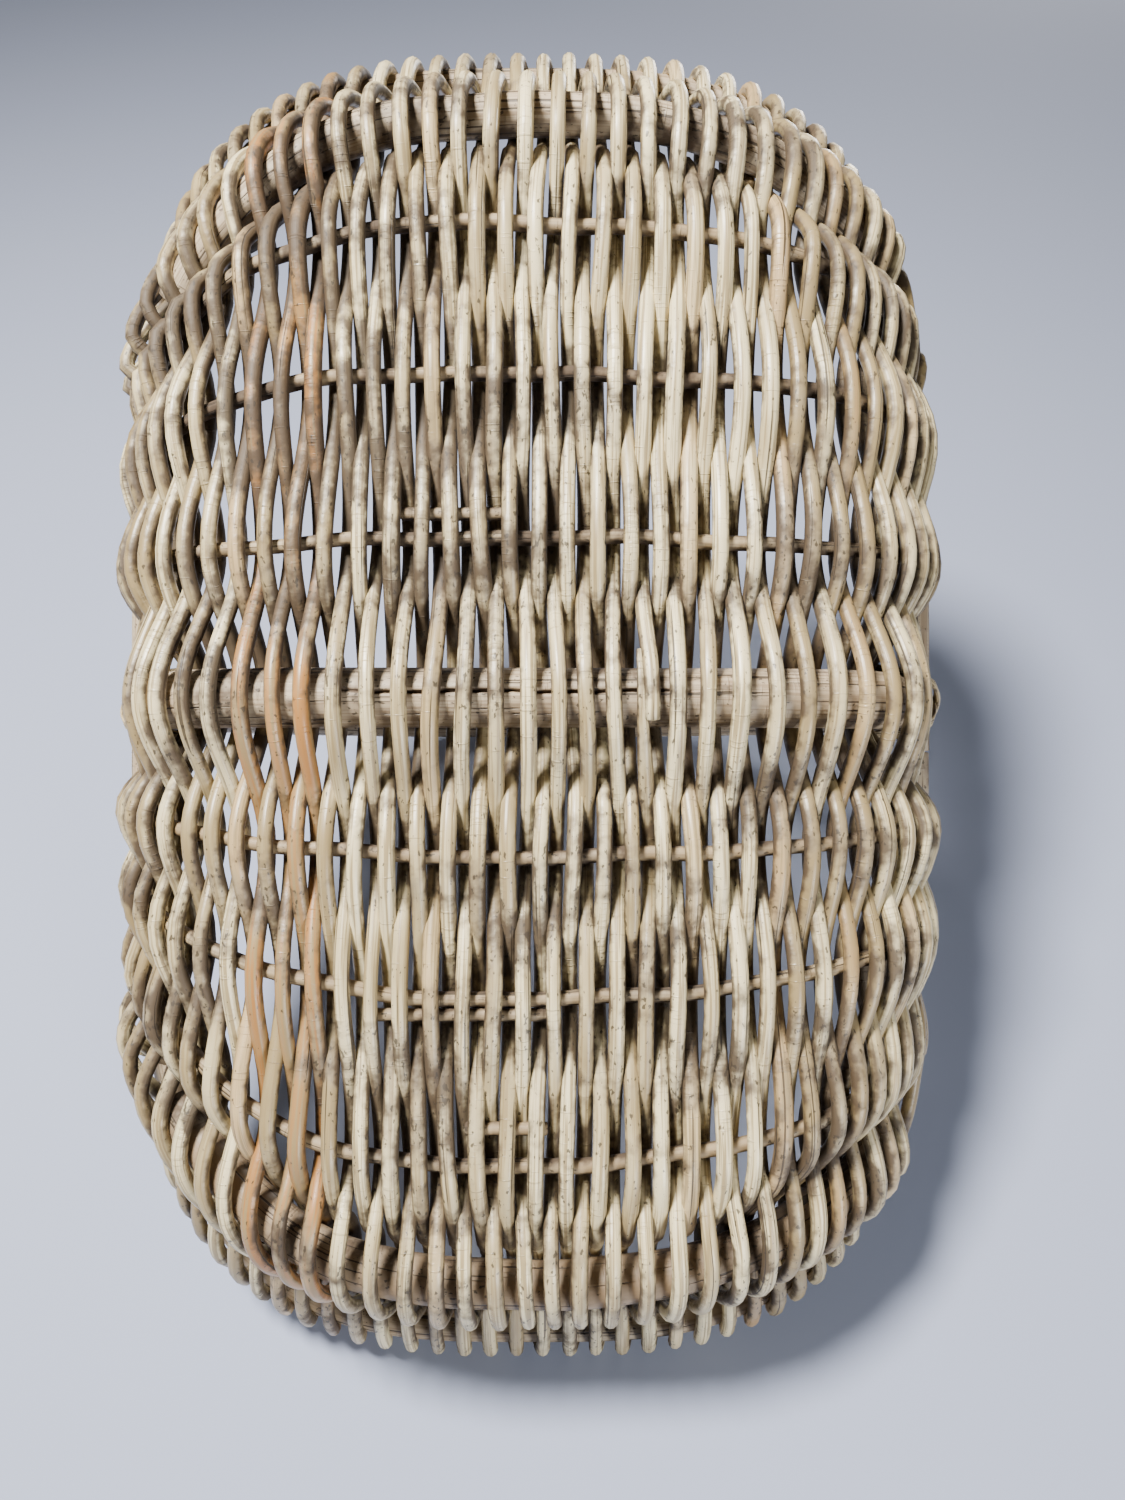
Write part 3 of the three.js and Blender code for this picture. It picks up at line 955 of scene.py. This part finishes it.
def lashing(name, side, lean, lift):
    """Turns of split willow round the hoop and the rim, lying aslant. side and lean are 1 or -1."""
    room = STRAND_R + STRAND_GAP + lift
    aslant = math.sqrt(2)
    along = unit(np.array([lean, 0, 1.0]))
    out = np.array([0, side, 0.0])
    across = np.cross(along, out)
    centre = np.array([0, side * (RIM_HALF_WIDTH - HOOP_INSET), RIM_LEVEL])
    points, outs = [], []
    for k in range(TURNS * TURN_STOPS + 1):
        angle = 2 * math.pi * k / TURN_STOPS
        rim_part = smoothstep(math.sin(angle), -0.35, 0.6)
        rod_r = HOOP_R * (1 - rim_part) + RIM_R * rim_part
        half = rod_r * aslant + SLANT_ROOM + room
        deep = rod_r + room
        shift = (k / (TURNS * TURN_STOPS) - 0.5) * 2 * STRAND_R * (TURNS - 1) * 1.05
        way = along * math.cos(angle) * half + out * (HOOP_INSET * rim_part + math.sin(angle) * deep)
        points.append(centre + way + across * shift)
        outs.append(unit(along * math.cos(angle) + out * math.sin(angle)))
    stations = chamfered(as_stations(points, outs, STRAND_R, (0.7, 0.25, 0.35)), 0.3)
    return sweep(name, stations, sides=8, seed=90 + side)


for ear, side in (("left", -1), ("right", 1)):
    under = lashing(f"ear_lashing_{ear}", side, side, 0.0)
    place(under, f"ear_binding_{ear}", "binding", WEAVER_WILLOW, CUT_END)
    over = lashing(f"ear_lashing_{ear}_over", side, -side, OVER_LIFT)
    place(over, None, "binding", WEAVER_WILLOW, CUT_END)

# %% [markdown]
# ## Floor, light and camera
# The basket lies tipped over on its handle and one end of its rim, with its base to the camera. The floor
# touches both, so it is a tilted plane in the basket's own frame. Its back is clear, so that a view from
# below it still shows the basket.

# %% Floor
FLOOR_COLOUR = (0.33, 0.365, 0.48)
FLOOR_HALF_SIZE = 4.0
rest_angle = math.atan2(RIM_HALF_LENGTH + 1, HOOP_TOP - RIM_LEVEL)
floor_up = np.array([math.cos(rest_angle), 0, -math.sin(rest_angle)])
rim_end = np.array([-RIM_HALF_LENGTH, 0, RIM_LEVEL])
rim_touches = float(rim_end @ floor_up) - RIM_R - 2 * WEAVER_R
handle_touches = -HOOP_TOP * math.sin(rest_angle) - HOOP_R
floor_place = Vector(floor_up) * (min(rim_touches, handle_touches) - 0.5) * MM
floor_turn = Vector((0, 0, 1)).rotation_difference(Vector(floor_up)).to_matrix().to_4x4()
floor_mesh = bmesh.new()
bmesh.ops.create_grid(floor_mesh, x_segments=1, y_segments=1, size=FLOOR_HALF_SIZE)
bmesh.ops.transform(floor_mesh, matrix=Matrix.Translation(floor_place) @ floor_turn, verts=floor_mesh.verts)
floor_data = bpy.data.meshes.new("floor")
floor_mesh.to_mesh(floor_data)
floor_mesh.free()
floor = bpy.data.objects.new("floor", floor_data)
bpy.context.scene.collection.objects.link(floor)
floor_finish = Finish("floor_paint")
floor_finish.feed(floor_finish.shader.inputs["Base Color"], FLOOR_COLOUR)
floor_finish.shader.inputs["Roughness"].default_value = 0.9
behind = floor_finish.node("ShaderNodeNewGeometry", output="Backfacing")
clear = floor_finish.node("ShaderNodeBsdfTransparent", output="BSDF")
paint = Wire(floor_finish, floor_finish.shader.outputs["BSDF"])
shown = floor_finish.node("ShaderNodeMixShader", inputs={0: behind, 1: paint, 2: clear})
floor_finish.feed(floor_finish.tree.nodes["Material Output"].inputs["Surface"], shown)
floor_data.materials.append(floor_finish.material)
print(f"floor tipped by {math.degrees(rest_angle):.1f} degrees")


# %% Light
DAYLIGHT, SKYLIGHT = (1.0, 0.98, 0.95), (0.95, 0.97, 1.0)
AIM = Vector((0, 0, 0.05))


def studio_light(name, place_at, size, power, colour):
    """A round lamp turned to the basket. Places are in metres, power in watts."""
    light = bpy.data.lights.new(name, "AREA")
    light.shape, light.size, light.energy, light.color = "DISK", size, power, colour
    holder = bpy.data.objects.new(name, light)
    holder.location = place_at
    holder.rotation_euler = (AIM - Vector(place_at)).to_track_quat("-Z", "Y").to_euler()
    bpy.context.scene.collection.objects.link(holder)


studio_light("window_light", (0.85, -0.5, -0.95), 0.35, 82, DAYLIGHT)
studio_light("fill_light", (-0.8, 0.7, -0.85), 0.5, 17, SKYLIGHT)
studio_light("upper_light", (2.4, 1.2, 1.9), 1.0, 40, DAYLIGHT)
world = bpy.data.worlds.new("studio")
world.use_nodes = True
world.node_tree.nodes["Background"].inputs["Color"].default_value = (0.8, 0.82, 0.88, 1)
world.node_tree.nodes["Background"].inputs["Strength"].default_value = 0.07
bpy.context.scene.world = world

# %% Camera
# It looks straight up at the base along +Z, with +X at the top of its view and +Y to the right.
CAMERA_AT = (-0.0196, 0.014, -0.387)
camera_data = bpy.data.cameras.new("camera")
camera_data.lens, camera_data.sensor_width = 26, 36
camera_data.clip_start = 0.01
camera = bpy.data.objects.new("camera", camera_data)
camera.matrix_world = Matrix.Translation(CAMERA_AT) @ Matrix(((0, 1, 0), (1, 0, 0), (0, 0, -1))).to_4x4()
bpy.context.scene.collection.objects.link(camera)
bpy.context.scene.camera = camera
